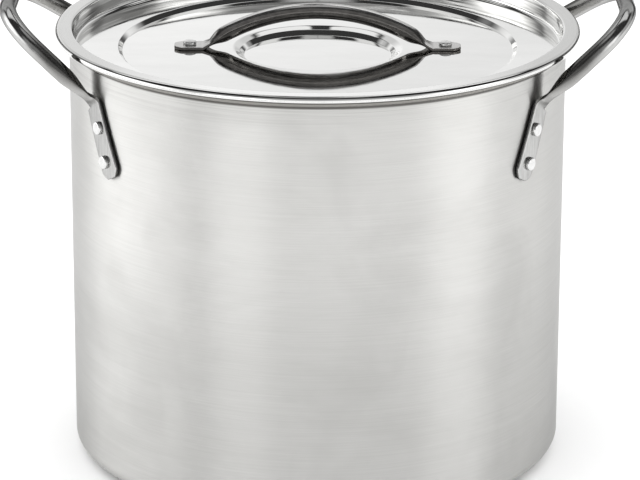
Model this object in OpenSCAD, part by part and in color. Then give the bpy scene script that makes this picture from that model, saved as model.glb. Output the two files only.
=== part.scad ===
// Lidded stock pot with two riveted loop handles and a stepped lid. Millimetres, +Z up.
// The origin is on the pot's axis, on the surface that the base stands on.
// X runs from handle to handle, and -Y is the front.

/* [Pot] */
// Outer diameter of the straight wall
pot_d = 280; // [240:2:320]
// Height of the drawn shell, from its underside to the top of the rim
shell_h = 244.5; // [180:0.5:300]
// Thickness of the shell's sheet
shell_t = 0.8; // [0.6:0.1:1.2]
// Outside radius of the corner between wall and floor
corner_r = 7; // [4:0.5:12]
// Radius of the rolled rim's section
rim_r = 2.9; // [2.2:0.1:3.4]

/* [Base] */
// Diameter of the heat-spreading disc
core_d = 248; // [200:2:256]
// Thickness of the heat-spreading disc
core_t = 3.2; // [2:0.1:6]
// Thickness of the cap that encloses the disc
cap_t = 0.5; // [0.4:0.1:0.8]

/* [Lid] */
// How far the lid's edge stands out past the pot's wall
lid_overhang = 8; // [6.5:0.5:12]
// Thickness of the lid's sheet
lid_t = 0.6; // [0.5:0.1:0.8]
// Height of the folded edge
hem_h = 3.6; // [2.8:0.1:5]
// Thickness of the folded edge
hem_t = 1.8; // [1.4:0.1:2]
// Depth of the recess at its wall
recess_depth = 11; // [8:0.1:20]
// How much the outer panel falls from the recess wall to the outer step
panel_fall = 1; // [0.2:0.1:3]
// Height of the step from the outer panel down to the middle panel
outer_step = 2.2; // [1:0.1:4]
// Outer diameter of that step
outer_step_d = 225; // [200:1:240]
// Height of the step from the middle panel down to the centre disc
inner_step = 4; // [2:0.1:5]
// Outer diameter of that step
inner_step_d = 94.8; // [60:0.2:110]

/* [Lid handle] */
// Length from tab end to tab end
lid_handle_l = 161.6; // [140:0.2:180]
// Outer diameter of the tube at the top of the arch
lid_tube_d = 9; // [7:0.5:12]
// Height of the tube's centre above the tabs' underside, at the top of the arch
lid_arch_h = 21.6; // [18:0.2:32]
// Length of each flat tab
lid_tab_l = 17.2; // [14:0.2:22]
// Width of each flat tab
lid_tab_w = 14.6; // [12:0.2:18]
// Thickness of each flat tab
lid_tab_t = 2; // [1.6:0.1:3]

/* [Side handles] */
// Outer diameter of the tube at the grip
tube_d = 9.6; // [8:0.2:12]
// How far the grip's centre stands out from the pot's axis, past the wall
grip_reach = 33.1; // [25:0.1:45]
// Height of the grip's centre above the rim's top
grip_rise = 13.7; // [0:0.1:30]
// Half the width of the loop, where its legs meet the line of the grip
grip_half_w = 40; // [34:1:50]
// Radius of the bend from leg to grip
grip_bend_r = 42; // [20:1:48]
// Width of each flattened paddle
paddle_w = 14.4; // [12:0.2:18]
// Thickness of each flattened paddle
paddle_t = 2.4; // [1.8:0.1:3]
// Height of the paddle's bend below the rim's top
paddle_top = 25.6; // [20:0.2:40]
// Height of the paddle's lower end below the rim's top
paddle_end = 63.4; // [60:0.2:90]
// Angle round the pot from the X axis to the middle of each paddle
paddle_angle = 34; // [30:0.2:38]
// Lean of each paddle from upright, along the wall
paddle_lean = 26; // [0:1:30]

/* [Rivets] */
// Diameter of every rivet's shank
shank_d = 4.8; // [4:0.1:6]
// Clearance between shank and hole, on the diameter
shank_gap = 0.1; // [0:0.05:0.2]
// Diameter of every outer head
head_d = 7.6; // [6.5:0.1:9]
// Height of every outer head
head_h = 2.5; // [1.5:0.1:3]
// Diameter of every head inside the pot or under the lid
tail_d = 9; // [7:0.1:11]
// Height of every head inside the pot or under the lid
tail_h = 1.4; // [1:0.1:2]
// Height of the upper rivet of each paddle below the rim's top
upper_rivet_drop = 37.4; // [34:0.2:42]
// Height of the lower rivet of each paddle below the rim's top
lower_rivet_drop = 55.4; // [50:0.2:60]

/* [Hidden] */
$fn = 96;

steel = "silver";
polished = "gainsboro";
bare_aluminium = "darkgray";

pot_r = pot_d / 2;
base_h = core_t + cap_t;
rim_z = base_h + shell_h;

// The lid hangs from its flange, which stays this far above the rim.
seat_gap = 0.3;
// The recess stays this far inside the pot's wall.
recess_gap = 0.6;
lid_r = pot_r + lid_overhang;
lid_top = rim_z + seat_gap + lid_t;
recess_r = pot_r - shell_t - recess_gap - lid_t;
lip_r = 2;
foot_r = 2;
edge_r = 2.2;
outer_step_r = outer_step_d / 2;
inner_step_r = inner_step_d / 2;
outer_step_run = 2.2;
inner_step_run = 5.8;
// The inner step begins with a shallow bevel.
inner_bevel_run = 3.5;
inner_bevel_drop = 1.3;
panel_z = -recess_depth;
panel_low_z = panel_z - panel_fall;
middle_z = panel_low_z - outer_step;
centre_z = middle_z - inner_step;
tab_z = lid_top + middle_z;

cap_r = core_d / 2 + cap_t;
cap_corner_r = 2.5;

// The upper rivet sits a little forward of the paddle's middle line, and the lower one a little back.
upper_rivet_shift = 1.2;
lower_rivet_shift = -1.8;

arc_steps = 8;
section_sides = 16;
flat_power = 6;
round_power = 2;

function unit(v) = v / norm(v);
function mix(a, b, k) = a + (b - a) * k;
function smooth(k) = let (c = min(1, max(0, k))) c * c * (3 - 2 * c);
function reversed(list) = [for (i = [len(list) - 1:-1:0]) list[i]];
function mirror_y(points) = [for (p = points) [p[0], -p[1], p[2]]];
function mirror_x(points) = [for (p = points) [-p[0], p[1], p[2]]];

// Points of a plane arc, from angle a0 to angle a1
function arc(c, r, a0, a1, n = arc_steps) =
    [for (i = [0:n]) let (a = mix(a0, a1, i / n)) c + r * [cos(a), sin(a)]];

// Points of a straight stretch, without its last point
function stretch(a, b, n) = [for (i = [0:n - 1]) mix(a, b, i / n)];

// Points of the bend of radius r that rounds the corner at b, between a and c
function bend(a, b, c, r, n) =
    let (u = unit(a - b), v = unit(c - b), inside = acos(u * v), turn = 180 - inside)
    let (centre = b + unit(u + v) * r / sin(inside / 2), reach = r / tan(inside / 2))
    let (e1 = unit(b + u * reach - centre), e2 = unit(b + v * reach - centre))
    [for (i = [0:n]) centre + r * (e1 * sin(turn * (1 - i / n)) + e2 * sin(turn * i / n)) / sin(turn)];

function tangents(p) = [for (i = [0:len(p) - 1]) unit(p[min(i + 1, len(p) - 1)] - p[max(i - 1, 0)])];
function square_to(v, t) = unit(v - (v * t) * t);

// The section's upward direction at each point, carried along the path without twist
function carried(t, n0) =
    [for (i = 0, n = square_to(n0, t[0]); i < len(t); i = i + 1, n = i < len(t) ? square_to(n, t[i]) : n) n];

function travelled(p) =
    [for (i = 0, s = 0; i < len(p); i = i + 1, s = i < len(p) ? s + norm(p[i] - p[i - 1]) : s) s];

// One ring of a flattened tube: width w along side, thickness h along up
function ring(centre, side, up, w, h, power) =
    [for (k = [0:section_sides - 1])
        let (a = 360 * k / section_sides, c = cos(a), s = sin(a), e = 2 / power)
        centre + side * (w / 2 * sign(c) * pow(abs(c), e)) + up * (h / 2 * sign(s) * pow(abs(s), e))];

// Rings of a tube whose two ends are pressed flat and rounded off. From each end, the tube is flat
// for flat_l, and is round after a further ease_l. ups holds the upward direction at each point.
function pressed_tube(path, ups, flat_w, flat_t, flat_l, ease_l, round_d) =
    let (t = tangents(path), s = travelled(path), total = s[len(s) - 1])
    [for (i = [0:len(path) - 1])
        let (from_end = min(s[i], total - s[i]), k = smooth((from_end - flat_l) / ease_l))
        let (up = square_to(ups[i], t[i]), side = cross(t[i], up))
        let (nose = flat_w / 2, back = max(0, 1 - from_end / nose))
        let (full_w = mix(flat_w, round_d, k), w = full_w * max(0.3, sqrt(1 - back * back)))
        ring(path[i], side, up, w, mix(flat_t, round_d, k), mix(flat_power, round_power, k))];

module skin(rings) {
    n = section_sides;
    last = len(rings) - 1;
    sides = [for (i = [0:last - 1], k = [0:n - 1])
        [i * n + k, i * n + (k + 1) % n, (i + 1) * n + (k + 1) % n, (i + 1) * n + k]];
    start_cap = [[for (k = [n - 1:-1:0]) k]];
    end_cap = [[for (k = [0:n - 1]) last * n + k]];
    polyhedron([for (r = rings) each r], concat(sides, start_cap, end_cap), convexity = 6);
}

// A place on the wall's outside: angle round from the X axis, depth below the rim, distance out
function on_wall(angle, drop, out = 0) =
    [(pot_r + out) * cos(angle), -(pot_r + out) * sin(angle), rim_z - drop];

paddle_mid_drop = (paddle_top + paddle_end) / 2;
function paddle_angle_at(drop) =
    paddle_angle + (drop - paddle_mid_drop) * tan(paddle_lean) / pot_r * 180 / PI;
function rivet_angle(drop, shift) = paddle_angle_at(drop) + shift / pot_r * 180 / PI;

// Path of one leg of the right-hand loop: up the wall, out and up to the grip's corner
paddle_points = 12;
wall_path = [for (i = [0:paddle_points])
    let (drop = mix(paddle_end, paddle_top + 4, i / paddle_points))
    on_wall(paddle_angle_at(drop), drop, paddle_t / 2)];
leg_foot = on_wall(paddle_angle_at(paddle_top), paddle_top, paddle_t / 2);
grip_corner = [pot_r + grip_reach, -grip_half_w, rim_z + grip_rise];
grip_middle = [grip_corner[0], 0, grip_corner[2]];
foot_bend = bend(wall_path[paddle_points], leg_foot, grip_corner, 9, 6);
grip_bend = bend(leg_foot, grip_corner, grip_middle, grip_bend_r, 14);
half_loop = concat(
    wall_path,
    foot_bend,
    stretch(mix(foot_bend[6], grip_bend[0], 0.1), grip_bend[0], 9),
    grip_bend,
    [mix(grip_bend[14], grip_middle, 0.5)]
);
loop_path = concat(half_loop, [grip_middle], reversed(mirror_y(half_loop)));
paddle_l = norm(leg_foot - wall_path[0]);

// The paddle faces straight out from the wall, and the leg carries that facing on to the grip.
half_ups = concat(
    [for (p = wall_path) unit([p[0], p[1], 0])],
    carried([for (i = [paddle_points + 1:len(half_loop) - 1]) tangents(loop_path)[i]],
        unit([leg_foot[0], leg_foot[1], 0]))
);
middle_up = square_to(half_ups[len(half_ups) - 1], [0, 1, 0]);
loop_ups = concat(half_ups, [middle_up], reversed(mirror_y(half_ups)));

// Path of the lid handle: tab, arch on one arc, tab
tab_mid_z = tab_z + lid_tab_t / 2;
arch_half_w = lid_handle_l / 2 - lid_tab_l;
arch_rise = lid_arch_h - lid_tab_t / 2;
arch_r = (arch_half_w * arch_half_w + arch_rise * arch_rise) / (2 * arch_rise);
arch_lean = asin(arch_half_w / arch_r);
arch_points = [for (i = [0:28])
    let (a = mix(-arch_lean + 2, arch_lean - 2, i / 28))
    [arch_r * sin(a), 0, tab_mid_z + arch_rise - arch_r * (1 - cos(a))]];
tab_points = [for (x = [0, 0.8, 1.8, 3, 4.5, 6.5, 11, 15]) [x - lid_handle_l / 2, 0, tab_mid_z]];
lid_path = concat(tab_points, arch_points, reversed(mirror_x(tab_points)));
lid_ups = carried(tangents(lid_path), [0, 0, 1]);

module pot_profile() {
    corner = [pot_r - corner_r, corner_r];
    rim = [pot_r - shell_t + rim_r, shell_h - rim_r];
    polygon(concat(
        [[0, 0]],
        arc(corner, corner_r, -90, 0),
        [[pot_r, rim[1]], [pot_r - shell_t, rim[1]]],
        arc(corner, corner_r - shell_t, 0, -90),
        [[0, shell_t]]
    ));
    // The sheet rolls outward over the rim, and its edge stops short of the wall.
    translate(rim)
        difference() {
            circle(rim_r);
            circle(rim_r - shell_t);
            polygon([[0, 0], [-2 * rim_r, 0], [-2 * rim_r, -2 * rim_r], [-rim_r * 0.7, -2 * rim_r]]);
        }
}

module side_rivet_hole(drop, shift) {
    rotate([0, 0, -rivet_angle(drop, shift)])
        translate([pot_r, 0, rim_z - drop])
            rotate([0, 90, 0])
                cylinder(d = shank_d + shank_gap, h = 40, center = true, $fn = 48);
}

module front_right_holes() {
    side_rivet_hole(upper_rivet_drop, upper_rivet_shift);
    side_rivet_hole(lower_rivet_drop, lower_rivet_shift);
}

module right_holes() {
    front_right_holes();
    mirror([0, 1, 0]) front_right_holes();
}

module pot_shell() {
    color(steel)
        difference() {
            translate([0, 0, base_h]) rotate_extrude($fn = 180) pot_profile();
            right_holes();
            mirror([1, 0, 0]) right_holes();
        }
}

module base_core() {
    inner_corner_r = cap_corner_r - cap_t;
    color(bare_aluminium)
        rotate_extrude($fn = 180)
            polygon(concat(
                [[0, cap_t]],
                arc([core_d / 2 - inner_corner_r, cap_corner_r], inner_corner_r, -90, 0),
                [[core_d / 2, base_h], [0, base_h]]
            ));
}

module base_cap() {
    corner = [cap_r - cap_corner_r, cap_corner_r];
    color(steel)
        rotate_extrude($fn = 180)
            polygon(concat(
                [[0, 0]],
                arc(corner, cap_corner_r, -90, 0),
                [[cap_r, base_h], [cap_r - cap_t, base_h]],
                arc(corner, cap_corner_r - cap_t, 0, -90),
                [[0, cap_t]]
            ));
}

module side_handle_right() {
    color(polished)
        difference() {
            skin(pressed_tube(loop_path, loop_ups, paddle_w, paddle_t, paddle_l, 30, tube_d));
            right_holes();
        }
}

module side_handle_left() {
    mirror([1, 0, 0]) side_handle_right();
}

// A set rivet along +Z: its outer head starts at z = 0, and the tail head lies beyond the grip length
module rivet(grip_l) {
    dome_h = head_h * 0.45;
    side_h = head_h - dome_h;
    dome_r = (head_d * head_d / 4 + dome_h * dome_h) / (2 * dome_h);
    translate([0, 0, -grip_l]) cylinder(d = shank_d, h = grip_l + side_h, $fn = 48);
    cylinder(d = head_d, h = side_h, $fn = 48);
    intersection() {
        translate([0, 0, side_h]) cylinder(d = head_d, h = dome_h, $fn = 48);
        translate([0, 0, head_h - dome_r]) sphere(dome_r, $fn = 96);
    }
    translate([0, 0, -grip_l - tail_h]) cylinder(d = tail_d, h = tail_h, $fn = 48);
}

// One rivet through the paddle of the front right leg and the wall
module side_rivet(drop, shift) {
    // A flat head inside a round wall bears on its edge, this far in from the wall's face.
    head_inset = tail_d * tail_d / 8 / (pot_r - shell_t);
    color(polished)
        rotate([0, 0, -rivet_angle(drop, shift)])
            translate([pot_r + paddle_t + 0.02, 0, rim_z - drop])
                rotate([0, 90, 0])
                    rivet(paddle_t + 0.02 + shell_t + head_inset);
}

module upper_side_rivet() {
    side_rivet(upper_rivet_drop, upper_rivet_shift);
}

module lower_side_rivet() {
    side_rivet(lower_rivet_drop, lower_rivet_shift);
}

module rivet_left_front_upper() {
    mirror([1, 0, 0]) upper_side_rivet();
}

module rivet_left_front_lower() {
    mirror([1, 0, 0]) lower_side_rivet();
}

module rivet_left_rear_upper() {
    rotate([0, 0, 180]) upper_side_rivet();
}

module rivet_left_rear_lower() {
    rotate([0, 0, 180]) lower_side_rivet();
}

module rivet_right_front_upper() {
    upper_side_rivet();
}

module rivet_right_front_lower() {
    lower_side_rivet();
}

module rivet_right_rear_upper() {
    mirror([0, 1, 0]) upper_side_rivet();
}

module rivet_right_rear_lower() {
    mirror([0, 1, 0]) lower_side_rivet();
}

module lid_profile() {
    hem_foot = [lid_r - hem_t / 2, -hem_h + hem_t / 2];
    lip = [recess_r + lip_r, -lip_r];
    foot = [recess_r - foot_r, panel_z + foot_r];
    inner_foot_r = inner_step_r - inner_step_run;
    inner_bevel = [inner_step_r - inner_bevel_run, middle_z - inner_bevel_drop];
    // The steps keep their thickness because their underside is set outward.
    under_shift = lid_t * 0.4;
    polygon(concat(
        arc(hem_foot, hem_t / 2, -180, 0),
        arc([lid_r - edge_r, -edge_r], edge_r, 0, 90),
        arc(lip, lip_r, 90, 180),
        arc(foot, foot_r, 0, -90),
        [[outer_step_r, panel_low_z], [outer_step_r - outer_step_run, middle_z]],
        [[inner_step_r, middle_z], inner_bevel, [inner_foot_r, centre_z], [0, centre_z]],
        [[0, centre_z - lid_t], [inner_foot_r + under_shift, centre_z - lid_t]],
        [inner_bevel + [under_shift, -lid_t], [inner_step_r + under_shift, middle_z - lid_t]],
        [[outer_step_r - outer_step_run + under_shift, middle_z - lid_t]],
        [[outer_step_r + under_shift, panel_low_z - lid_t]],
        arc(foot, foot_r + lid_t, -90, 0),
        arc(lip, lip_r - lid_t, 180, 90),
        [[lid_r - hem_t, -lid_t]]
    ));
}

rivet_x = lid_handle_l / 2 - 8.6;

module lid_rivet_holes() {
    for (x = [-rivet_x, rivet_x])
        translate([x, 0, tab_z]) cylinder(d = shank_d + shank_gap, h = 20, center = true, $fn = 48);
}

module lid_shell() {
    color(polished)
        difference() {
            translate([0, 0, lid_top]) rotate_extrude($fn = 180) lid_profile();
            lid_rivet_holes();
        }
}

module lid_handle() {
    color(polished)
        difference() {
            skin(pressed_tube(lid_path, lid_ups, lid_tab_w, lid_tab_t, lid_tab_l, 30, lid_tube_d));
            lid_rivet_holes();
        }
}

module lid_rivet(x) {
    color(polished)
        translate([x, 0, tab_z + lid_tab_t]) rivet(lid_tab_t + lid_t);
}

module lid_rivet_left() {
    lid_rivet(-rivet_x);
}

module lid_rivet_right() {
    lid_rivet(rivet_x);
}

pot_shell();
base_core();
base_cap();
side_handle_left();
side_handle_right();
rivet_left_front_upper();
rivet_left_front_lower();
rivet_left_rear_upper();
rivet_left_rear_lower();
rivet_right_front_upper();
rivet_right_front_lower();
rivet_right_rear_upper();
rivet_right_rear_lower();
lid_shell();
lid_handle();
lid_rivet_left();
lid_rivet_right();
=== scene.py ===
"""A lidded stainless-steel stock pot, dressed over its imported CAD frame."""

import math

import bpy
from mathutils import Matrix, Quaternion, Vector


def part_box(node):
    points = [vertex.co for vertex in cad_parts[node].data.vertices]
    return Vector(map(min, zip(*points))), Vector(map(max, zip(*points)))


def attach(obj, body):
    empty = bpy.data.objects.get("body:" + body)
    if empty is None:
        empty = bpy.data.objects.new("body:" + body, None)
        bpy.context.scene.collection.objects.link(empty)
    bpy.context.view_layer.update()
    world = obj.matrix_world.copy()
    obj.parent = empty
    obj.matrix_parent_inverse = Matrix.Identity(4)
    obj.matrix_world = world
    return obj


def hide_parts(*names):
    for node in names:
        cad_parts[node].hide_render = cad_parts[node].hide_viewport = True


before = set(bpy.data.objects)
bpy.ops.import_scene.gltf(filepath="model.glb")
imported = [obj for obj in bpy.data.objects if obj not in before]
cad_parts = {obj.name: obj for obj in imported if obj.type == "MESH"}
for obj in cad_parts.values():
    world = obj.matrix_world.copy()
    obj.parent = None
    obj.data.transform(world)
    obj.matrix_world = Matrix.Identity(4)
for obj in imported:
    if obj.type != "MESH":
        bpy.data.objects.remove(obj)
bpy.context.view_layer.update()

# ---------------------------------------------------------------- places, all from the frame
MM = 0.001
wall_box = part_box("pot_shell")
lid_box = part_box("lid_shell")
cap_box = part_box("base_cap")
grip_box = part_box("side_handle_right")
lid_handle_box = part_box("lid_handle")

RIM_TOP = wall_box[1].z
RIM_OUT = wall_box[1].x
SHELL_FOOT = wall_box[0].z
LID_TOP = lid_box[1].z
LID_R = lid_box[1].y

# ---------------------------------------------------------------- sizes that no box holds
# Lengths are in metres, angles in degrees
# The pot's sheet: thickness, outer wall, bottom corner and rolled rim
SHEET = 0.8 * MM
WALL_R = RIM_OUT - 5.0 * MM
CORNER_R = 7.0 * MM
RIM_R = 2.9 * MM

# The lid's sheet: thickness, the recess within the flange, the folded edge, and how far each floor
# lies below the flange
LID_SHEET = 0.6 * MM
RECESS_R = LID_R - 10.0 * MM
HEM_W = 1.8 * MM
HEM_H = 3.6 * MM
PANEL_DROP = 11.0 * MM
PANEL_LOW_DROP = 12.0 * MM
MIDDLE_DROP = 14.2 * MM
CENTRE_DROP = 18.2 * MM

# The side handles: tube, and paddles with their upper and lower ends as depths below the rim, how
# far round from +X they sit and how far they lean. Then the fold above a paddle: its radius, how far
# the leg twists, and over what length it becomes round. Last, the grip: half the distance between
# its two corners, and the radius that rounds them
TUBE_D = 9.6 * MM
PADDLE_W = 14.4 * MM
PADDLE_T = 2.4 * MM
PADDLE_TOP = 25.6 * MM
PADDLE_END = 63.4 * MM
PADDLE_ANGLE = 34.0
PADDLE_LEAN = 26.0
FOLD_R = 6.0 * MM
FOLD_TWIST = 20.0
FOLD_EASE = 24.0 * MM
GRIP_HALF_W = 40.0 * MM
GRIP_BEND_R = 42.0 * MM

# The lid's handle: tube, tabs, over what length they become round, and the place of its rivets
LID_TUBE_D = 9.0 * MM
TAB_L = 17.2 * MM
TAB_W = 14.6 * MM
TAB_T = 2.0 * MM
TAB_EASE = 13.0 * MM
LID_RIVET_X = 72.2 * MM

# The rivets: outer head, inner head, and each level's depth below the rim, with its shift along the
# wall away from the loop's middle
HEAD_D = 7.6 * MM
HEAD_H = 2.5 * MM
TAIL_D = 9.0 * MM
TAIL_H = 1.4 * MM
RIVET_LEVELS = {"upper": (37.4 * MM, 1.2 * MM), "lower": (55.4 * MM, -1.8 * MM)}

# How finely round and swept forms are divided
TURNS = 288
RIVET_TURNS = 48
TUBE_SIDES = 56
END_STEPS = 9


# ---------------------------------------------------------------- mesh helpers
def new_object(name, vertices, faces, sharp_angle=40):
    mesh = bpy.data.meshes.new(name)
    mesh.from_pydata([tuple(v) for v in vertices], [], faces)
    mesh.validate()
    mesh.update()
    obj = bpy.data.objects.new(name, mesh)
    bpy.context.scene.collection.objects.link(obj)
    for polygon in mesh.polygons:
        polygon.use_smooth = True
    mesh.set_sharp_from_angle(angle=math.radians(sharp_angle))
    return obj


def arc(cx, cz, r, start, end, steps):
    """Points of an arc from angle start to angle end, in degrees."""
    angles = [math.radians(start + (end - start) * i / steps) for i in range(steps + 1)]
    return [(cx + r * math.cos(a), cz + r * math.sin(a)) for a in angles]


def rounded(corners, steps=6, guard=0.35 * MM):
    """The outline through corners of (radius, height, rounding), with a guard point on each side
    of every bend so that the flats between them shade flat. A rounding of 0 is a sharp corner."""
    points = [Vector(corner[:2]) for corner in corners]
    out = []
    for i, here in enumerate(points):
        radius = corners[i][2]
        if radius == 0:
            out.append(here)
            continue
        before = (points[i - 1] - here).normalized()
        after = (points[i + 1] - here).normalized()
        inside = before.angle(after)
        reach = radius / math.tan(inside / 2)
        centre = here + (before + after).normalized() * radius / math.sin(inside / 2)
        first = here + before * reach - centre
        second = here + after * reach - centre
        turn = math.pi - inside
        out.append(here + before * (reach + guard))
        for k in range(steps + 1):
            f = k / steps
            offset = first * math.sin((1 - f) * turn) + second * math.sin(f * turn)
            out.append(centre + offset / math.sin(turn))
        out.append(here + after * (reach + guard))
    return [(p.x, p.y) for p in out]


def lathe(name, profile, segments=TURNS, closed=False):
    """Turns a profile of (radius, height) points round the Z axis. A closed profile is a loop, and
    any other one starts and ends on the axis."""
    vertices, rings = [], []
    for radius, height in profile:
        if radius == 0:
            rings.append([len(vertices)])
            vertices.append((0.0, 0.0, height))
            continue
        ring = []
        for k in range(segments):
            a = 2 * math.pi * k / segments
            ring.append(len(vertices))
            vertices.append((radius * math.cos(a), radius * math.sin(a), height))
        rings.append(ring)
    faces = []
    pairs = list(zip(rings, rings[1:]))
    if closed:
        pairs.append((rings[-1], rings[0]))
    for lower, upper in pairs:
        if len(lower) == 1 and len(upper) == 1:
            continue
        for k in range(segments):
            n = (k + 1) % segments
            if len(lower) == 1:
                faces.append((lower[0], upper[n], upper[k]))
            elif len(upper) == 1:
                faces.append((lower[k], lower[n], upper[0]))
            else:
                faces.append((lower[k], lower[n], upper[n], upper[k]))
    return new_object(name, vertices, faces)


def mix(a, b, k):
    """a where k is 0, b where it is 1."""
    return a + (b - a) * k


def smooth(k):
    """0 up to 0, 1 from 1 on, and a soft rise between."""
    c = min(1.0, max(0.0, k))
    return c * c * (3 - 2 * c)


def stretch(a, b, n):
    """Points of a straight stretch from a, without its last point b."""
    return [mix(a, b, i / n) for i in range(n)]


def bend(a, b, c, r, n):
    """Points of the bend of radius r that rounds the corner at b, between a and c."""
    u = (a - b).normalized()
    v = (c - b).normalized()
    inside = u.angle(v)
    turn = math.pi - inside
    centre = b + (u + v).normalized() * r / math.sin(inside / 2)
    reach = r / math.tan(inside / 2)
    e1 = (b + u * reach - centre).normalized()
    e2 = (b + v * reach - centre).normalized()
    out = []
    for i in range(n + 1):
        k = i / n
        offset = e1 * math.sin(turn * (1 - k)) + e2 * math.sin(turn * k)
        out.append(centre + offset * r / math.sin(turn))
    return out


def tangents(points):
    """The path's direction at each of its points."""
    before = points[:1] + points[:-1]
    after = points[1:] + points[-1:]
    return [(b - a).normalized() for a, b in zip(before, after)]


def square_to(v, t):
    """The part of v at right angles to t."""
    return (v - t * v.dot(t)).normalized()


def carried(directions, start):
    """The upward direction at each point, carried along without twist."""
    ups = []
    up = start
    for t in directions:
        up = square_to(up, t)
        ups.append(up)
    return ups


def twisted(ups, directions, angle, steps):
    """Upward directions turned about their path, by more and more over the first steps."""
    out = []
    for i, (up, t) in enumerate(zip(ups, directions)):
        out.append(Quaternion(t, math.radians(angle) * smooth(i / steps)) @ up)
    return out


def mirrored_y(vectors):
    return [Vector((v.x, -v.y, v.z)) for v in reversed(vectors)]


def super_ring(centre, side, up, w, h, power, sides):
    """A ring of a flattened tube: width w along side, thickness h along up. A power of 2 is round,
    a high one is flat with round edges, and one below 2 has creased edges."""
    ring = []
    e = 2 / power
    for k in range(sides):
        a = 2 * math.pi * k / sides
        c, s = math.cos(a), math.sin(a)
        x = math.copysign(abs(c) ** e, c)
        y = math.copysign(abs(s) ** e, s)
        ring.append(centre + side * (w / 2 * x) + up * (h / 2 * y))
    return ring


def sweep(name, path, ups, shape):
    """Skins rings along the path. shape(distance from the nearer end) gives each ring's width,
    thickness and power. Both ends are closed."""
    sides = TUBE_SIDES
    directions = tangents(path)
    run = [0.0]
    for a, b in zip(path, path[1:]):
        run.append(run[-1] + (b - a).length)
    vertices, faces = [], []
    for point, t, up, s in zip(path, directions, ups, run):
        w, h, power = shape(min(s, run[-1] - s))
        up = square_to(up, t)
        vertices += super_ring(point, t.cross(up), up, w, h, power, sides)
    for i in range(len(path) - 1):
        for k in range(sides):
            n = (k + 1) % sides
            faces.append((i * sides + k, i * sides + n, (i + 1) * sides + n, (i + 1) * sides + k))
    faces.append(tuple(reversed(range(sides))))
    top = (len(path) - 1) * sides
    faces.append(tuple(top + k for k in range(sides)))
    return new_object(name, vertices, faces, 50)


def closed_ends(points):
    """Crowds extra points into the first and last stretch, for well-rounded ends."""
    crowd = [(i / END_STEPS) ** 2 for i in range(END_STEPS)]
    head = [mix(points[0], points[1], k) for k in crowd]
    tail = [mix(points[-1], points[-2], k) for k in reversed(crowd)]
    return head + points[1:-1] + tail


def lengthened(ups):
    """Upward directions to match closed_ends()."""
    return [ups[0]] * END_STEPS + ups[1:-1] + [ups[-1]] * END_STEPS


# ---------------------------------------------------------------- node helpers
def node_material(name):
    material = bpy.data.materials.new(name)
    material.use_nodes = True
    tree = material.node_tree
    return material, tree, tree.nodes["Principled BSDF"]


def feed(tree, socket, value):
    """Sets a socket to a number or a colour, or links it to the socket that is given."""
    if isinstance(value, bpy.types.NodeSocket):
        tree.links.new(value, socket)
    elif isinstance(value, tuple):
        socket.default_value = (*value, 1)
    else:
        socket.default_value = value


def math_node(tree, operation, *values):
    node = tree.nodes.new("ShaderNodeMath")
    node.operation = operation
    for socket, value in zip(node.inputs, values):
        feed(tree, socket, value)
    return node.outputs[0]


def times(tree, a, b):
    return math_node(tree, "MULTIPLY", a, b)


def weighted(tree, a, b, share):
    """The mean of a and b, in which a has this share."""
    return math_node(tree, "MULTIPLY_ADD", a, share, times(tree, b, 1 - share))


def mixed(tree, kind, factor, a, b):
    """a where factor is 0 and b where it is 1. kind is RGBA for colours, FLOAT for numbers."""
    node = tree.nodes.new("ShaderNodeMix")
    node.data_type = kind
    feed(tree, node.inputs["Factor"], factor)
    feed(tree, node.inputs["A"], a)
    feed(tree, node.inputs["B"], b)
    return node.outputs["Result"]


def tinted(tree, colour, tint, factor):
    """The colour, taken towards a tint by factor."""
    return mixed(tree, "RGBA", factor, colour, tint)


def remap(tree, value, low, high, to_low, to_high, interpolation="LINEAR"):
    """Takes low..high to to_low..to_high, and stays there beyond."""
    node = tree.nodes.new("ShaderNodeMapRange")
    node.interpolation_type = interpolation
    node.clamp = True
    node.inputs["From Min"].default_value = low
    node.inputs["From Max"].default_value = high
    node.inputs["To Min"].default_value = to_low
    node.inputs["To Max"].default_value = to_high
    tree.links.new(value, node.inputs["Value"])
    return node.outputs["Result"]


def fade(tree, value, start, end):
    """1 at start and on its far side, 0 at end and on its far side, with a smooth change between.
    Either may be the larger."""
    return remap(tree, value, start, end, 1.0, 0.0, "SMOOTHSTEP")


def band(tree, value, low, high, soft):
    """1 between low and high, 0 outside, over a soft edge on either side."""
    rise = remap(tree, value, low - soft, low + soft, 0.0, 1.0)
    fall = remap(tree, value, high - soft, high + soft, 1.0, 0.0)
    return times(tree, rise, fall)


def coordinate(tree, axis):
    """The X, Y or Z of object coordinates, which are the frame's own in metres."""
    coordinates = tree.nodes.new("ShaderNodeTexCoord")
    split = tree.nodes.new("ShaderNodeSeparateXYZ")
    tree.links.new(coordinates.outputs["Object"], split.inputs["Vector"])
    return split.outputs[axis]


def from_axis(tree):
    """Distance from the Z axis."""
    x, y = coordinate(tree, "X"), coordinate(tree, "Y")
    return math_node(tree, "SQRT", math_node(tree, "MULTIPLY_ADD", y, y, times(tree, x, x)))


def upward(tree):
    """How far the surface faces up: 1 is straight up, -1 straight down."""
    geometry = tree.nodes.new("ShaderNodeNewGeometry")
    split = tree.nodes.new("ShaderNodeSeparateXYZ")
    tree.links.new(geometry.outputs["Normal"], split.inputs["Vector"])
    return split.outputs["Z"]


def per_metre(tree, x, y, z):
    """Coordinates in which noise has so many grains per metre along each axis."""
    coordinates = tree.nodes.new("ShaderNodeTexCoord")
    mapping = tree.nodes.new("ShaderNodeMapping")
    mapping.inputs["Scale"].default_value = (x, y, z)
    tree.links.new(coordinates.outputs["Object"], mapping.inputs["Vector"])
    return mapping.outputs["Vector"]


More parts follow.
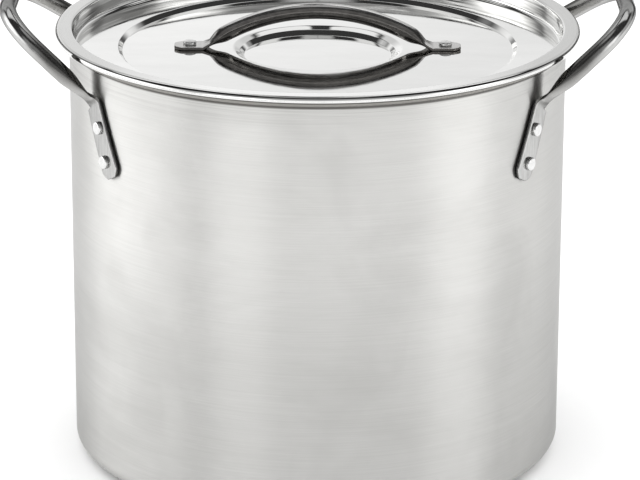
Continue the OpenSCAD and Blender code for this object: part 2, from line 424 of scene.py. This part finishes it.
def rings_per_metre(tree, across, along):
    """Coordinates in which noise draws fine rings round the Z axis: across per metre of radius
    and height, along per metre of the way round."""
    join = tree.nodes.new("ShaderNodeCombineXYZ")
    out_and_up = math_node(tree, "ADD", from_axis(tree), coordinate(tree, "Z"))
    feed(tree, join.inputs["X"], times(tree, coordinate(tree, "X"), along))
    feed(tree, join.inputs["Y"], times(tree, coordinate(tree, "Y"), along))
    feed(tree, join.inputs["Z"], times(tree, out_and_up, across))
    return join.outputs["Vector"]


def noise(tree, vector, detail, roughness, distortion=0.0):
    node = tree.nodes.new("ShaderNodeTexNoise")
    node.inputs["Scale"].default_value = 1.0
    node.inputs["Detail"].default_value = detail
    node.inputs["Roughness"].default_value = roughness
    node.inputs["Distortion"].default_value = distortion
    tree.links.new(vector, node.inputs["Vector"])
    return node.outputs["Fac"]


def spread(tree, value, low=0.3, high=0.7):
    """Noise, whose values crowd round a half, spread over 0 to 1."""
    return remap(tree, value, low, high, 0.0, 1.0)


def bump(tree, shader, height, strength, distance):
    node = tree.nodes.new("ShaderNodeBump")
    node.inputs["Strength"].default_value = strength
    node.inputs["Distance"].default_value = distance
    tree.links.new(height, node.inputs["Height"])
    tree.links.new(node.outputs["Normal"], shader.inputs["Normal"])


def metal(tree, shader, colour, rough, edge=1.0):
    """Makes the shader a metal, whose mirror dims to edge at grazing angles."""
    feed(tree, shader.inputs["Base Color"], colour)
    feed(tree, shader.inputs["Roughness"], rough)
    shader.inputs["Metallic"].default_value = 1.0
    shader.inputs["Specular Tint"].default_value = (edge, edge, edge, 1)


# ---------------------------------------------------------------- materials
def brushed_wall():
    """Stainless sheet with fine brushing round the wall, soft cloudy patches and a few smudges. It
    has painted shade towards the foot, and streaky painted shade just under the rim. The rolled rim
    has painted shade, and the gaps over and under it have dark painted shade."""
    material, tree, shader = node_material("brushed_wall")
    radius, height = from_axis(tree), coordinate(tree, "Z")
    fine = noise(tree, rings_per_metre(tree, 5200, 26), 2.0, 0.6)
    lines = noise(tree, rings_per_metre(tree, 700, 7), 4.0, 0.65)
    clouds = noise(tree, per_metre(tree, 7, 7, 26), 4.0, 0.6, 0.8)
    smudges = noise(tree, per_metre(tree, 17, 17, 15), 3.0, 0.5, 0.6)

    grain = weighted(tree, fine, lines, 0.6)
    tone = spread(tree, weighted(tree, clouds, grain, 0.5), 0.36, 0.64)
    steel = mixed(tree, "RGBA", tone, (0.60, 0.597, 0.58), (0.74, 0.737, 0.72))
    steel = tinted(tree, steel, (0.36, 0.357, 0.345), remap(tree, smudges, 0.48, 0.66, 0.0, 0.15))
    # Painted shade in streaky lines, growing towards the rim
    near_rim = remap(tree, height, RIM_TOP - 22 * MM, RIM_TOP - 8 * MM, 0.0, 1.0)
    painted_streaks = remap(tree, lines, 0.45, 0.6, 0.0, 0.3)
    steel = tinted(tree, steel, (0.2, 0.195, 0.185), times(tree, painted_streaks, near_rim))
    # Painted shade, darker towards the foot of the wall
    foot = remap(tree, height, 85 * MM, 160 * MM, 0.16, 0.0)
    steel = tinted(tree, steel, (0.12, 0.12, 0.115), foot)

    outside = remap(tree, radius, WALL_R - 0.4 * MM, WALL_R - 0.2 * MM, 0.0, 1.0)
    # Painted shade on the rolled rim's outside, and dark painted shade in the gaps over and under it
    roll_foot = RIM_TOP - 2 * RIM_R
    roll = band(tree, height, roll_foot, RIM_TOP, 0.2 * MM)
    steel = tinted(tree, steel, (0.36, 0.35, 0.33), times(tree, roll, outside))
    under = band(tree, height, roll_foot - 2.2 * MM, roll_foot - 0.4 * MM, 0.4 * MM)
    over = band(tree, height, roll_foot + 1.9 * MM, RIM_TOP, 0.3 * MM)
    crevice_shade = times(tree, math_node(tree, "MAXIMUM", under, over), outside)
    steel = tinted(tree, steel, (0.07, 0.066, 0.06), times(tree, crevice_shade, 0.85))

    rough = remap(tree, weighted(tree, clouds, lines, 0.5), 0.3, 0.7, 0.28, 0.37)
    metal(tree, shader, steel, rough, 0.72)
    shader.inputs["Anisotropic"].default_value = 1.0
    shader.inputs["Anisotropic Rotation"].default_value = 0.25
    tangent = tree.nodes.new("ShaderNodeTangent")
    tangent.direction_type = "RADIAL"
    tangent.axis = "Z"
    tree.links.new(tangent.outputs["Tangent"], shader.inputs["Tangent"])
    bump(tree, shader, grain, 0.12, 0.04 * MM)
    return material


def polished_lid():
    """Near-mirror steel with a light haze and wipe marks. The flange is satin, with painted shade
    towards the side handles and a painted dark reflection along its edge. The recess wall is rippled,
    with streaky painted dark reflections, and the folded edge has painted shade underneath."""
    material, tree, shader = node_material("polished_lid")
    radius, height = from_axis(tree), coordinate(tree, "Z")
    haze = noise(tree, per_metre(tree, 30, 30, 30), 4.0, 0.6)
    wipes = noise(tree, per_metre(tree, 24, 60, 60), 5.0, 0.6)
    turned = noise(tree, rings_per_metre(tree, 1500, 12), 3.0, 0.6)
    ripples = noise(tree, rings_per_metre(tree, 300, 14), 3.0, 0.5)
    swell = noise(tree, per_metre(tree, 55, 55, 55), 2.0, 0.4)

    steel = mixed(tree, "RGBA", spread(tree, wipes), (0.74, 0.74, 0.73), (0.79, 0.79, 0.78))
    satin = mixed(tree, "RGBA", turned, (0.82, 0.82, 0.81), (0.94, 0.94, 0.93))
    # Painted shade on the flange, darker towards the side handles
    sideways = math_node(tree, "ABSOLUTE", coordinate(tree, "X"))
    side_shade = remap(tree, sideways, 60 * MM, 120 * MM, 0.0, 0.55)
    satin = tinted(tree, satin, (0.30, 0.30, 0.29), side_shade)
    flange = band(tree, radius, RECESS_R + 0.8 * MM, LID_R - 1.4 * MM, 0.5 * MM)
    steel = mixed(tree, "RGBA", flange, steel, satin)

    # Painted shade under the folded edge
    under = remap(tree, height, LID_TOP - 3.4 * MM, LID_TOP - 3.0 * MM, 0.8, 0.0)
    hem = remap(tree, radius, RECESS_R + 2.0 * MM, RECESS_R + 3.0 * MM, 0.0, 1.0)
    steel = tinted(tree, steel, (0.08, 0.08, 0.075), times(tree, under, hem))
    # A painted dark reflection along the top of the flange's rounded edge
    lip = band(tree, radius, LID_R - 0.9 * MM, LID_R - 0.15 * MM, 0.15 * MM)
    on_top = remap(tree, height, LID_TOP - 1.3 * MM, LID_TOP - 1.0 * MM, 0.0, 0.75)
    steel = tinted(tree, steel, (0.05, 0.05, 0.05), times(tree, lip, on_top))

    # Streaky painted dark reflections on the recess wall
    deep = band(tree, height, LID_TOP - PANEL_DROP + 1.0 * MM, LID_TOP - 1.5 * MM, 0.5 * MM)
    inside = remap(tree, radius, RECESS_R + 0.5 * MM, RECESS_R + 1.5 * MM, 1.0, 0.0)
    recess_wall = times(tree, deep, inside)
    painted_streaks = remap(tree, ripples, 0.4, 0.56, 0.65, 0.0)
    steel = tinted(tree, steel, (0.12, 0.118, 0.112), times(tree, recess_wall, painted_streaks))

    polish = remap(tree, haze, 0.35, 0.7, 0.03, 0.07)
    metal(tree, shader, steel, math_node(tree, "MULTIPLY_ADD", flange, 0.12, polish))
    # The ripples stand this many times as high as the swell of the panels
    ripple = 30.0
    relief = math_node(tree, "MULTIPLY_ADD", times(tree, ripples, recess_wall), ripple, swell)
    bump(tree, shader, relief, 0.05, 0.4 * MM)
    return material


def polished_tube():
    """Polished tube with faint drawing marks. The paddles are satin with painted shade on their sides
    next to the wall, the legs have painted shade that fades away from the wall, and the tube has
    painted light underneath."""
    material, tree, shader = node_material("polished_tube")
    radius = from_axis(tree)
    marks = noise(tree, per_metre(tree, 260, 260, 260), 4.0, 0.6)
    brushed = noise(tree, per_metre(tree, 1500, 1500, 90), 3.0, 0.6)
    steel = mixed(tree, "RGBA", spread(tree, marks), (0.46, 0.46, 0.455), (0.56, 0.56, 0.555))

    fold = WALL_R + PADDLE_T + 0.6 * MM
    paddle = remap(tree, radius, fold, fold + 1.5 * MM, 1.0, 0.0)
    steel = tinted(tree, steel, (0.80, 0.80, 0.79), times(tree, paddle, 0.45))
    brushing = remap(tree, brushed, 0.3, 0.7, 0.0, 0.45)
    steel = tinted(tree, steel, (0.20, 0.198, 0.19), times(tree, paddle, brushing))

    # Painted shade on the legs, from just past the fold, fading out towards the outer bend
    folded = remap(tree, radius, fold - 0.8 * MM, fold + 0.8 * MM, 0.0, 0.85)
    near_wall = remap(tree, radius, 160 * MM, 173 * MM, 1.0, 0.0)
    leg = times(tree, folded, near_wall)
    steel = tinted(tree, steel, (0.10, 0.098, 0.092), leg)
    # Painted light on the tube's underside, beyond the paddles
    beyond = remap(tree, radius, fold, fold + 1.5 * MM, 0.0, 1.0)
    under = times(tree, remap(tree, upward(tree), -0.65, 0.2, 1.0, 0.0), beyond)
    steel = tinted(tree, steel, (0.66, 0.655, 0.645), times(tree, under, 0.75))
    # Painted shade on the paddles' sides next to the wall
    cut = remap(tree, radius, WALL_R + 1.3 * MM, WALL_R + 2.0 * MM, 0.9, 0.0)
    steel = tinted(tree, steel, (0.03, 0.03, 0.03), cut)

    rough = math_node(tree, "MULTIPLY_ADD", leg, 0.16, remap(tree, marks, 0.3, 0.7, 0.08, 0.15))
    metal(tree, shader, steel, rough, 0.35)
    bump(tree, shader, marks, 0.06, 0.08 * MM)
    return material


def satin_tube():
    """The lid handle's tube, finely brushed along its length, with painted light on top and painted
    shade underneath.
    """
    material, tree, shader = node_material("satin_tube")
    along = noise(tree, per_metre(tree, 60, 1400, 1400), 3.0, 0.6)
    marks = noise(tree, per_metre(tree, 240, 240, 240), 3.0, 0.5)
    tone = weighted(tree, along, marks, 0.5)
    grain = spread(tree, tone, 0.35, 0.65)
    steel = mixed(tree, "RGBA", grain, (0.13, 0.125, 0.12), (0.22, 0.21, 0.20))
    # Painted light on the top; the dark colour below it is painted shade
    on_top = remap(tree, upward(tree), 0.5, 0.9, 0.0, 1.0)
    steel = tinted(tree, steel, (0.78, 0.775, 0.765), on_top)
    metal(tree, shader, steel, remap(tree, tone, 0.35, 0.65, 0.14, 0.24), 0.6)
    bump(tree, shader, along, 0.06, 0.05 * MM)
    return material


def rivet_steel():
    """Set rivet heads with a lightly hammered face."""
    material, tree, shader = node_material("rivet_steel")
    dents = noise(tree, per_metre(tree, 420, 420, 420), 3.0, 0.5)
    steel = mixed(tree, "RGBA", spread(tree, dents), (0.62, 0.62, 0.615), (0.74, 0.74, 0.735))
    metal(tree, shader, steel, remap(tree, dents, 0.3, 0.7, 0.14, 0.26))
    bump(tree, shader, dents, 0.2, 0.2 * MM)
    return material


def turned_cap():
    """The base's cap, with fine turned rings."""
    material, tree, shader = node_material("turned_cap")
    rings = noise(tree, rings_per_metre(tree, 2600, 14), 3.0, 0.6)
    steel = mixed(tree, "RGBA", spread(tree, rings), (0.60, 0.60, 0.59), (0.76, 0.76, 0.75))
    metal(tree, shader, steel, remap(tree, rings, 0.3, 0.7, 0.25, 0.42))
    bump(tree, shader, rings, 0.15, 0.05 * MM)
    return material


def bare_aluminium():
    """The sandwich disc between floor and cap."""
    material, tree, shader = node_material("bare_aluminium")
    grain = noise(tree, per_metre(tree, 900, 900, 900), 4.0, 0.6)
    aluminium = mixed(tree, "RGBA", spread(tree, grain), (0.58, 0.59, 0.60), (0.72, 0.73, 0.74))
    metal(tree, shader, aluminium, remap(tree, grain, 0.3, 0.7, 0.4, 0.6))
    return material


def pale_floor():
    material, tree, shader = node_material("pale_floor")
    soft = noise(tree, per_metre(tree, 3, 3, 3), 2.0, 0.5)
    pale = mixed(tree, "RGBA", soft, (0.93, 0.93, 0.93), (0.95, 0.95, 0.95))
    feed(tree, shader.inputs["Base Color"], pale)
    shader.inputs["Roughness"].default_value = 0.9
    shader.inputs["Specular IOR Level"].default_value = 0.1
    return material


def wear(obj, material, body, slot, *nodes):
    """Gives a piece its material, its body and the CAD nodes that it stands for. Its slot is not used.
    """
    obj.data.materials.clear()
    obj.data.materials.append(material)
    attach(obj, body)
    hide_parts(*nodes)


# ---------------------------------------------------------------- pieces
def make_shell(material):
    """The drawn pot: floor, corner, wall and the rim's open curl, as one sheet."""
    rim_x = WALL_R - SHEET + RIM_R
    rim_z = RIM_TOP - RIM_R
    corner = (WALL_R - CORNER_R, SHELL_FOOT + CORNER_R)
    floor_x = (corner[0] * 0.5, corner[0] - 1.0 * MM)
    heights = [mix(corner[1], rim_z, f) for f in (0.004, 0.33, 0.66, 0.9)]
    curl_end = -140
    profile = [(0.0, SHELL_FOOT)]
    profile += [(x, SHELL_FOOT) for x in floor_x]
    profile += arc(*corner, CORNER_R, -90, 0, 12)
    profile += [(WALL_R, z) for z in heights]
    profile += [(WALL_R, rim_z - 0.4 * MM)]
    profile += arc(rim_x, rim_z, RIM_R - SHEET, 180, curl_end, 28)
    profile += arc(rim_x, rim_z, RIM_R, curl_end, 180, 28)
    profile += [(WALL_R - SHEET, z) for z in reversed(heights)]
    profile += arc(*corner, CORNER_R - SHEET, 0, -90, 12)
    profile += [(x, SHELL_FOOT + SHEET) for x in reversed(floor_x)]
    profile += [(0.0, SHELL_FOOT + SHEET)]
    wear(lathe("pot_wall", profile), material, "pot", "wall_steel", "pot_shell")


def make_lid(material):
    """The pressed lid: folded edge, flange, recess, outer step, and a bevelled inner step round the
    centre disc, as one sheet."""
    top = LID_TOP
    panel = top - PANEL_DROP
    panel_low = top - PANEL_LOW_DROP
    middle = top - MIDDLE_DROP
    centre = top - CENTRE_DROP
    draft = 0.3 * MM
    ring, ring_run = 112.5 * MM, 2.3 * MM
    disc, bevel, foot = 47.4 * MM, 43.9 * MM, 41.6 * MM
    bevel_drop, crown = 1.3 * MM, 0.3 * MM
    t = LID_SHEET
    upper = [
        (LID_R - HEM_W / 2, top - HEM_H, 0),
        (LID_R, top - HEM_H, 0.85 * MM),
        (LID_R, top, 2.2 * MM),
        (RECESS_R, top, 1.4 * MM),
        (RECESS_R - draft, panel, 2.0 * MM),
        (ring, panel_low, 0.4 * MM),
        (ring - ring_run, middle - crown, 0.4 * MM),
        (disc, middle + crown, 4.0 * MM),
        (bevel, middle - bevel_drop, 1.2 * MM),
        (foot, centre, 0.5 * MM),
        (0.0, centre, 0),
    ]
    lower = [
        (0.0, centre - t, 0),
        (foot + 0.7 * t, centre - t, 1.2 * MM),
        (bevel + 0.5 * t, middle - bevel_drop - t, 1.0 * MM),
        (disc, middle + crown - t, 0.6 * MM),
        (ring - ring_run + 0.6 * t, middle - crown - t, 0.2 * MM),
        (ring + 0.6 * t, panel_low - t, 0.5 * MM),
        (RECESS_R - draft + t, panel - t, 2.6 * MM),
        (RECESS_R + t, top - t, 0.8 * MM),
        (LID_R - HEM_W, top - t, 0.3 * MM),
        (LID_R - HEM_W, top - HEM_H, 0.85 * MM),
        (LID_R - HEM_W / 2, top - HEM_H, 0),
    ]
    profile = rounded(upper) + rounded(lower)[:-1]
    wear(lathe("lid_sheet", profile, closed=True), material, "lid", "lid_steel", "lid_shell")


def on_wall(angle, drop, out):
    """A place off the wall: degrees round from +X towards the front, depth below the rim, and how
    far out from the wall."""
    a = math.radians(angle)
    r = WALL_R + out
    return Vector((r * math.cos(a), -r * math.sin(a), RIM_TOP - drop))


def paddle_angle_at(drop):
    """How far round the leaning paddle's middle line is at this depth below the rim."""
    middle = (PADDLE_TOP + PADDLE_END) / 2
    lean = math.tan(math.radians(PADDLE_LEAN))
    return PADDLE_ANGLE + math.degrees((drop - middle) * lean / WALL_R)


def loop_path():
    """Centre line and upward directions of the right-hand loop, from front paddle to rear."""
    out = PADDLE_T / 2
    steps = 36
    drops = [mix(PADDLE_END, PADDLE_TOP + 4 * MM, i / steps) for i in range(steps + 1)]
    wall = [on_wall(paddle_angle_at(d), d, out) for d in drops]
    foot = on_wall(paddle_angle_at(PADDLE_TOP), PADDLE_TOP, out)
    corner = Vector((grip_box[1].x - TUBE_D / 2, -GRIP_HALF_W, grip_box[1].z - TUBE_D / 2))
    middle = Vector((corner.x, 0, corner.z))
    foot_bend = bend(wall[-1], foot, corner, FOLD_R, 14)
    grip_bend = bend(foot, corner, middle, GRIP_BEND_R, 40)
    half = wall + foot_bend
    half += stretch(mix(foot_bend[-1], grip_bend[0], 0.03), grip_bend[0], 30)
    half += grip_bend
    half += stretch(mix(grip_bend[-1], middle, 0.15), middle, 6)
    whole = half + [middle] + mirrored_y(half)
    outward = [Vector((p.x, p.y, 0)).normalized() for p in wall]
    leg = tangents(whole)[len(wall):len(half)]
    raised = carried(leg, Vector((foot.x, foot.y, 0)).normalized())
    ups = outward + twisted(raised, leg, FOLD_TWIST, 20)
    middle_up = square_to(ups[-1], Vector((0, 1, 0)))
    return whole, ups + [middle_up] + mirrored_y(ups), (foot - wall[0]).length


def pressed(flat_w, flat_t, flat_l, ease_l, round_d, crease=0.55):
    """Section of a tube pressed flat at its ends, as sweep() wants it. After the flat length it
    becomes round over ease_l, with creased edges on the way. The ends are cut blunt, with their
    corners taken off."""
    def shape(from_end):
        past = from_end - flat_l
        k_w = smooth(past / (0.6 * ease_l))
        k_h = smooth(past / ease_l)
        cut = 0.42 + 0.58 * min(1.0, from_end / (0.3 * flat_w)) ** 0.7
        w = mix(flat_w, round_d, k_w) * cut
        h = mix(flat_t, round_d, k_h)
        edge = min(1.0, from_end / (0.3 * flat_t))
        h *= 0.62 + 0.38 * math.sqrt(max(0.0, 1 - (1 - edge) ** 2))
        power = mix(8.0, 2.0, smooth((past + 2 * MM) / (ease_l * 0.35)))
        fold = math.sin(math.pi * min(1.0, max(0.0, past / (ease_l * 1.3))))
        return w, h, power - crease * fold
    return shape


def make_side_handles(material):
    """Both loops: the right-hand one, and its mirror image."""
    path, ups, flat_l = loop_path()
    shape = pressed(PADDLE_W, PADDLE_T, flat_l, FOLD_EASE, TUBE_D)
    right = sweep("loop_handle_right", closed_ends(path), lengthened(ups), shape)
    wear(right, material, "pot", "handle_steel", "side_handle_right")
    flip = [Vector((-p.x, p.y, p.z)) for p in reversed(path)]
    flip_ups = [Vector((-u.x, u.y, u.z)) for u in reversed(ups)]
    left = sweep("loop_handle_left", closed_ends(flip), lengthened(flip_ups), shape)
    wear(left, material, "pot", "handle_steel", "side_handle_left")


def make_lid_handle(material):
    """The arch over the lid, with a flat tab at each end."""
    length = lid_handle_box[1].x * 2
    mid_z = LID_TOP - MIDDLE_DROP + TAB_T / 2
    rise = lid_handle_box[1].z - LID_TUBE_D / 2 - mid_z
    half_w = length / 2 - TAB_L
    r = (half_w ** 2 + rise ** 2) / (2 * rise)
    lean = math.asin(half_w / r)
    ends = math.radians(2)
    steps = 110
    angles = [mix(-lean + ends, lean - ends, i / steps) for i in range(steps + 1)]
    arch = [Vector((r * math.sin(a), 0, mid_z + rise - r * (1 - math.cos(a)))) for a in angles]
    # Distances from the tab's end in mm, closest where it rounds off
    tab_x = [0, 0.4, 0.8, 1.3, 1.8, 2.4, 3, 3.7, 4.5, 5.5, 6.5, 8, 11, 13, 15, 16]
    tab = [Vector((x * MM - length / 2, 0, mid_z)) for x in tab_x]
    path = tab + arch + [Vector((-p.x, p.y, p.z)) for p in reversed(tab)]
    ups = carried(tangents(path), Vector((0, 0, 1)))
    shape = pressed(TAB_W, TAB_T, TAB_L, TAB_EASE, LID_TUBE_D, 0.4)
    handle = sweep("arch_handle", closed_ends(path), lengthened(ups), shape)
    wear(handle, material, "lid", "handle_steel", "lid_handle")


def make_rivet(name, material, body, node, origin, axis, grip):
    """A set rivet: a domed outer head, and a flatter one on the far side of the sheets."""
    head_r, tail_r, shank_r = HEAD_D / 2, TAIL_D / 2, HEAD_D * 0.31
    head = [
        (head_r * 0.93, 0, 0),
        (head_r, 0.5 * MM, 0.2 * MM),
        (head_r * 0.97, HEAD_H * 0.74, 0.9 * MM),
        (0.0, HEAD_H, 0),
    ]
    tail = [
        (0.0, -grip - TAIL_H, 0),
        (tail_r, -grip - TAIL_H * 0.86, 0.45 * MM),
        (tail_r, -grip, 0),
    ]
    shank = [(shank_r, -grip), (shank_r, 0)]
    profile = rounded(tail, 5, 0.1 * MM) + shank + rounded(head, 5, 0.1 * MM)
    rivet = lathe(name, profile, RIVET_TURNS)
    turn = Vector((0, 0, 1)).rotation_difference(axis).to_matrix().to_4x4()
    turn.translation = origin
    rivet.data.transform(turn)
    wear(rivet, material, body, "rivet_steel", node)


def make_rivets(material):
    """Two rivets through each paddle and the wall, and one through each tab and the lid."""
    stand = PADDLE_T + 0.02 * MM
    # A flat inner head touches the curved wall at its sides, and stands this far off in the middle
    bearing = (TAIL_D / 2) ** 2 / 2 / (WALL_R - SHEET)
    grip = stand + SHEET + bearing
    for level, (drop, shift) in RIVET_LEVELS.items():
        angle = paddle_angle_at(drop) + math.degrees(shift / WALL_R)
        place = on_wall(angle, drop, stand)
        for hand, x in (("right", 1), ("left", -1)):
            for end, y in (("front", 1), ("rear", -1)):
                origin = Vector((place.x * x, place.y * y, place.z))
                axis = Vector((origin.x, origin.y, 0)).normalized()
                node = f"rivet_{hand}_{end}_{level}"
                make_rivet("head_" + node, material, "pot", node, origin, axis, grip)
    top = LID_TOP - MIDDLE_DROP + TAB_T
    for hand, x in (("right", 1), ("left", -1)):
        node = f"lid_rivet_{hand}"
        origin = Vector((LID_RIVET_X * x, 0, top))
        make_rivet("head_" + node, material, "lid", node, origin, Vector((0, 0, 1)), TAB_T + LID_SHEET)


def make_cap(material):
    """The base's cap, a shallow pan under the core."""
    radius = cap_box[1].x
    top = cap_box[1].z
    t = 0.5 * MM
    outline = [
        (0.0, 0.0, 0),
        (radius, 0.0, 2.5 * MM),
        (radius, top, 0.15 * MM),
        (radius - t, top, 0.15 * MM),
        (radius - t, t, 2.0 * MM),
        (0.0, t, 0),
    ]
    cap = lathe("base_pan", rounded(outline, guard=0.1 * MM))
    wear(cap, material, "pot", "cap_steel", "base_cap")


def paint_node(name, material):
    """Gives a CAD node that stays in view its procedural material."""
    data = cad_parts[name].data
    data.materials.clear()
    data.materials.append(material)


# ---------------------------------------------------------------- studio
# What reflections see round the pot, painted in this order, each patch over the last: its name,
# heading of its middle from the front (right is positive), half its width, its lower and upper
# edge, brightness, and how softly its edges fade. All but the brightness are in degrees.
STUDIO_PATCHES = [
    ("front wall", 0, 62, -90, 50, 0.45, 8),
    ("back wall", 180, 41, -90, 37, 0.74, 5),
    ("back wall foot", 180, 41, -90, 20, 1.11, 14),
    ("room", 0, 139, -90, 24, 0.36, 4),
    ("horizon", 0, 139, -90, 11, 0.92, 6),
    ("right horizon", 88, 40, -90, 22, 0.6, 4),
    ("left horizon", -88, 40, -90, 22, 0.6, 4),
    ("zenith", 0, 180, 77, 91, 0.6, 5),
    ("back wall shade", 165, 12, -90, 24, 0.84, 8),
    ("left softbox", -106, 20, -90, 28, 2.4, 12),
    ("left front light", -78, 14, -90, 18, 1.9, 10),
    ("front reflector", -34, 12, -90, 11, 2.2, 8),
    ("right softbox", 68, 16, -90, 24, 2.1, 12),
    ("right rear gap", 147, 20, -90, 12, 0.1, 8),
    ("left rear gap", -154, 10, -90, 10, 0.2, 8),
]

# Two overhead boxes on the rear side, with a dark gap between them. Each pair says where the light
# is full and where it has faded out: in degrees up, then as the direction's Y, then as its distance
# in X from the middle of the gap, which lies this shift to the left
OVERHEAD_LIGHT = 1.05
OVERHEAD_LOW = (44.0, 38.0)
OVERHEAD_FRONT = (0.42, 0.32)
OVERHEAD_GAP = (0.078, 0.048)
OVERHEAD_SHIFT = 0.02

# The brightness between all these, that of diffuse light, and that of the backdrop
DOME = 0.04
DIFFUSE_LIGHT = 1.35
BACKDROP = 1.02


def painted(tree, level, patch, heading, elevation):
    """The brightness so far, with one more patch over it."""
    name, middle, half, low, high, brightness, soft = patch
    away = math_node(tree, "WRAP", math_node(tree, "SUBTRACT", heading, middle), 180.0, -180.0)
    across = fade(tree, math_node(tree, "ABSOLUTE", away), half - soft, half + soft)
    below = fade(tree, elevation, high - soft / 2, high + soft / 2)
    above = fade(tree, elevation, low + soft / 2, low - soft / 2)
    level = mixed(tree, "FLOAT", times(tree, times(tree, across, below), above), level, brightness)
    level.node.label = name
    return level


def make_world():
    """A white room for camera and diffuse light, in which reflections find panels and gaps."""
    world = bpy.data.worlds.new("studio")
    bpy.context.scene.world = world
    world.use_nodes = True
    tree = world.node_tree
    coordinates = tree.nodes.new("ShaderNodeTexCoord")
    split = tree.nodes.new("ShaderNodeSeparateXYZ")
    tree.links.new(coordinates.outputs["Generated"], split.inputs["Vector"])
    x, y, z = (split.outputs[axis] for axis in "XYZ")
    to_degrees = 180 / math.pi
    heading = times(tree, math_node(tree, "ARCTAN2", x, times(tree, y, -1.0)), to_degrees)
    elevation = times(tree, math_node(tree, "ARCSINE", z), to_degrees)
    level = DOME
    for patch in STUDIO_PATCHES:
        level = painted(tree, level, patch, heading, elevation)

    behind = fade(tree, y, *OVERHEAD_FRONT)
    overhead = times(tree, fade(tree, elevation, *OVERHEAD_LOW), behind)
    sideways = math_node(tree, "ABSOLUTE", math_node(tree, "ADD", x, OVERHEAD_SHIFT))
    overhead = times(tree, overhead, fade(tree, sideways, *OVERHEAD_GAP))
    level = math_node(tree, "MAXIMUM", level, times(tree, overhead, OVERHEAD_LIGHT))

    paths = tree.nodes.new("ShaderNodeLightPath")
    level = mixed(tree, "FLOAT", paths.outputs["Is Glossy Ray"], DIFFUSE_LIGHT, level)
    level = mixed(tree, "FLOAT", paths.outputs["Is Camera Ray"], level, BACKDROP)
    feed(tree, tree.nodes["Background"].inputs["Color"], (1, 1, 1))
    feed(tree, tree.nodes["Background"].inputs["Strength"], level)


def area_light(name, location, size, power):
    """A square soft light that shines at the pot, and that no reflection shows."""
    data = bpy.data.lights.new(name, "AREA")
    data.size = size
    data.energy = power
    light = bpy.data.objects.new(name, data)
    bpy.context.scene.collection.objects.link(light)
    light.location = location
    aim = Vector((0, 0, 0.1)) - Vector(location)
    light.rotation_euler = aim.to_track_quat("-Z", "Y").to_euler()
    light.visible_glossy = False


def make_floor(material):
    half = 14.0
    corners = [(-half, -half, 0), (half, -half, 0), (half, half, 0), (-half, half, 0)]
    floor = new_object("floor", corners, [(0, 1, 2, 3)])
    floor.data.materials.append(material)


def make_camera():
    """A long lens from the front, looking down on the lid. Angles are in radians."""
    distance, sideways, above_lid = 1.91562, 0.00174, 0.51948
    pitch, roll = 0.3263, 0.0036
    data = bpy.data.cameras.new("camera")
    data.lens = 197.7
    data.sensor_width = 36.0
    data.clip_end = 60
    camera = bpy.data.objects.new("camera", data)
    bpy.context.scene.collection.objects.link(camera)
    camera.location = (sideways, -distance, LID_TOP + above_lid)
    look = Vector((0, math.cos(pitch), -math.sin(pitch)))
    camera.rotation_mode = "QUATERNION"
    camera.rotation_quaternion = look.to_track_quat("-Z", "Y") @ Quaternion((0, 0, 1), roll)
    bpy.context.scene.camera = camera


# ---------------------------------------------------------------- the scene
wall_steel = brushed_wall()
lid_steel = polished_lid()
tube_steel = polished_tube()
arch_steel = satin_tube()
head_steel = rivet_steel()
cap_steel = turned_cap()
core_metal = bare_aluminium()

make_camera()
make_world()
make_floor(pale_floor())
area_light("key", (-1.6, -0.6, 2.2), 1.6, 8)
area_light("fill", (1.8, -0.8, 1.8), 1.4, 5)

make_shell(wall_steel)
make_cap(cap_steel)
make_side_handles(tube_steel)
make_lid(lid_steel)
make_lid_handle(arch_steel)
make_rivets(head_steel)
paint_node("base_core", core_metal)

view_settings = bpy.context.scene.view_settings
view_settings.view_transform = "Standard"
view_settings.look = "None"
